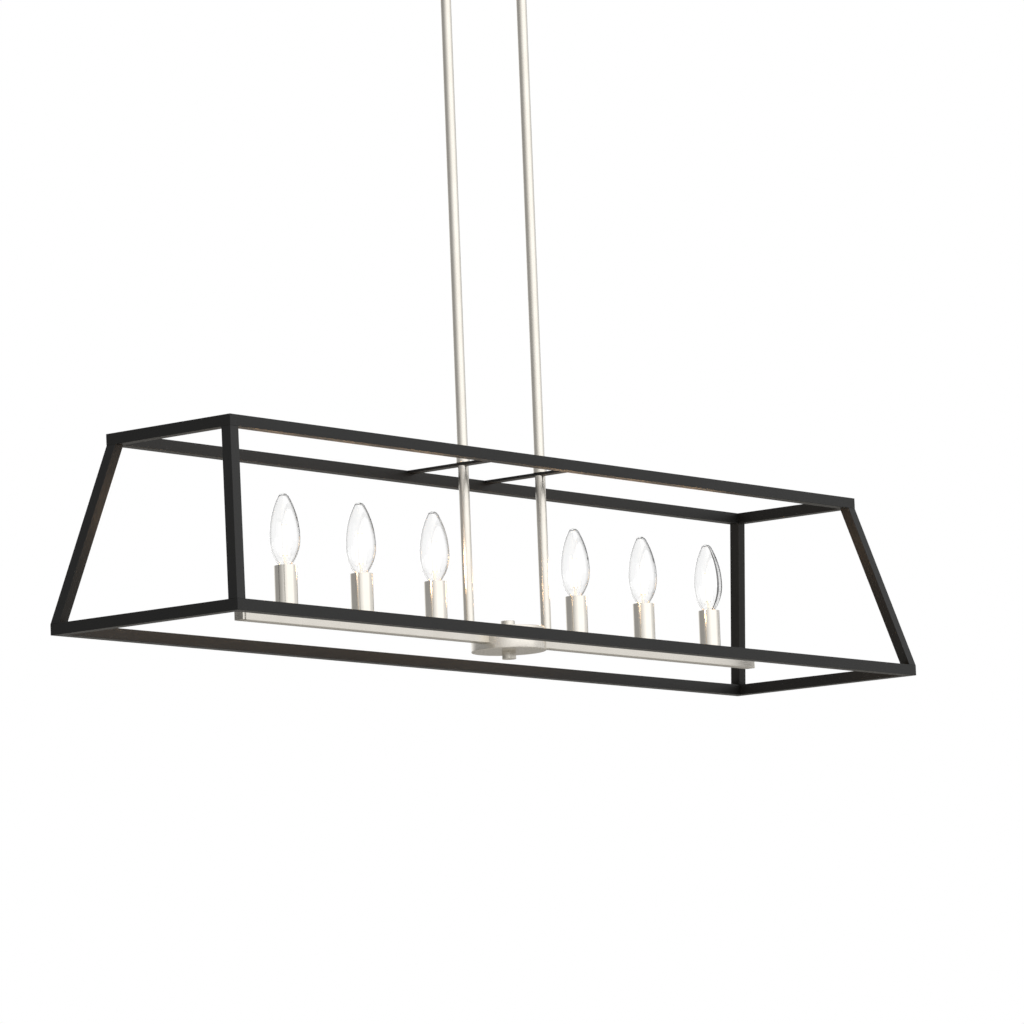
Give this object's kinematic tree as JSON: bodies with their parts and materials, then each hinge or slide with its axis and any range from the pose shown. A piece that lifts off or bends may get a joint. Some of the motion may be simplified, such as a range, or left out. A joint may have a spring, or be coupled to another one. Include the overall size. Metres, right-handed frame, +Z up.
{
  "type": "linear island pendant",
  "caption": "Linear island pendant: open black trapezoid cage on nickel rods, inner light bar with upright candle lamps, swivels under a rectangular ceiling canopy.",
  "frame": {"origin": "middle of the ceiling face of the canopy, in the plane of the ceiling", "axes": "+Z up towards the ceiling, +X along the length of the cage, +Y across it; the fixture hangs below the origin"},
  "size_m": [1.2244, 0.2716, 0.8901],
  "materials": {
    "black_paint": "matte black powder coat",
    "satin_nickel": "satin brushed nickel",
    "zinc_steel": "zinc plated",
    "socket_plastic": "moulded, matt ivory",
    "lamp_glass": "clear blown glass",
    "lamp_base_metal": "nickel plated brass screw shell",
    "filament_phosphor": "pale yellow phosphor coat"
  },
  "bodies": {
    "ceiling_mount": {"canopy": "satin_nickel", "mounting_strap": "zinc_steel", "canopy_screws": "satin_nickel", "swivel_yokes": "satin_nickel", "swivel_lock_nuts": "zinc_steel"},
    "hanging_fixture": {"top_rail_front": "black_paint", "top_rail_right": "black_paint", "top_rail_back": "black_paint", "top_rail_left": "black_paint", "bottom_rail_front": "black_paint", "bottom_rail_right": "black_paint", "bottom_rail_back": "black_paint", "bottom_rail_left": "black_paint", "corner_post_front_left": "black_paint", "corner_post_front_right": "black_paint", "corner_post_back_left": "black_paint", "corner_post_back_right": "black_paint", "crossbar_left": "black_paint", "crossbar_right": "black_paint", "swivel_tongues": "satin_nickel", "upper_rod_left": "satin_nickel", "upper_rod_right": "satin_nickel", "rod_collars": "satin_nickel", "lower_rod_left": "satin_nickel", "lower_rod_right": "satin_nickel", "light_bar": "satin_nickel", "hub_shell": "satin_nickel", "hub_closing_plate": "satin_nickel", "hub_stud": "zinc_steel", "hub_nuts": "satin_nickel", "sleeve_1": "satin_nickel", "sleeve_2": "satin_nickel", "sleeve_3": "satin_nickel", "sleeve_4": "satin_nickel", "sleeve_5": "satin_nickel", "sleeve_6": "satin_nickel", "socket_1": "socket_plastic", "socket_2": "socket_plastic", "socket_3": "socket_plastic", "socket_4": "socket_plastic", "socket_5": "socket_plastic", "socket_6": "socket_plastic"},
    "lamp_1": {"lamp_glass_1": "lamp_glass", "lamp_base_1": "lamp_base_metal", "lamp_filament_1": "filament_phosphor"},
    "lamp_2": {"lamp_glass_2": "lamp_glass", "lamp_base_2": "lamp_base_metal", "lamp_filament_2": "filament_phosphor"},
    "lamp_3": {"lamp_glass_3": "lamp_glass", "lamp_base_3": "lamp_base_metal", "lamp_filament_3": "filament_phosphor"},
    "lamp_4": {"lamp_glass_4": "lamp_glass", "lamp_base_4": "lamp_base_metal", "lamp_filament_4": "filament_phosphor"},
    "lamp_5": {"lamp_glass_5": "lamp_glass", "lamp_base_5": "lamp_base_metal", "lamp_filament_5": "filament_phosphor"},
    "lamp_6": {"lamp_glass_6": "lamp_glass", "lamp_base_6": "lamp_base_metal", "lamp_filament_6": "filament_phosphor"}
  },
  "joints": [
    {"name": "fixture_swing", "type": "hinge", "parent": "ceiling_mount", "child": "hanging_fixture", "pos_m": [0, 0, -0.0434], "axis": [1, 0, 0], "range_deg": [-45, 45]},
    {"name": "lamp_1_unscrew", "type": "hinge", "parent": "hanging_fixture", "child": "lamp_1", "pos_m": [-0.381, 0, -0.8212], "axis": [0, 0, 1], "range_deg": [0, 1260]},
    {"name": "lamp_2_unscrew", "type": "hinge", "parent": "hanging_fixture", "child": "lamp_2", "pos_m": [-0.254, 0, -0.8212], "axis": [0, 0, 1], "range_deg": [0, 1260]},
    {"name": "lamp_3_unscrew", "type": "hinge", "parent": "hanging_fixture", "child": "lamp_3", "pos_m": [-0.127, 0, -0.8212], "axis": [0, 0, 1], "range_deg": [0, 1260]},
    {"name": "lamp_4_unscrew", "type": "hinge", "parent": "hanging_fixture", "child": "lamp_4", "pos_m": [0.127, 0, -0.8212], "axis": [0, 0, 1], "range_deg": [0, 1260]},
    {"name": "lamp_5_unscrew", "type": "hinge", "parent": "hanging_fixture", "child": "lamp_5", "pos_m": [0.254, 0, -0.8212], "axis": [0, 0, 1], "range_deg": [0, 1260]},
    {"name": "lamp_6_unscrew", "type": "hinge", "parent": "hanging_fixture", "child": "lamp_6", "pos_m": [0.381, 0, -0.8212], "axis": [0, 0, 1], "range_deg": [0, 1260]}
  ]
}
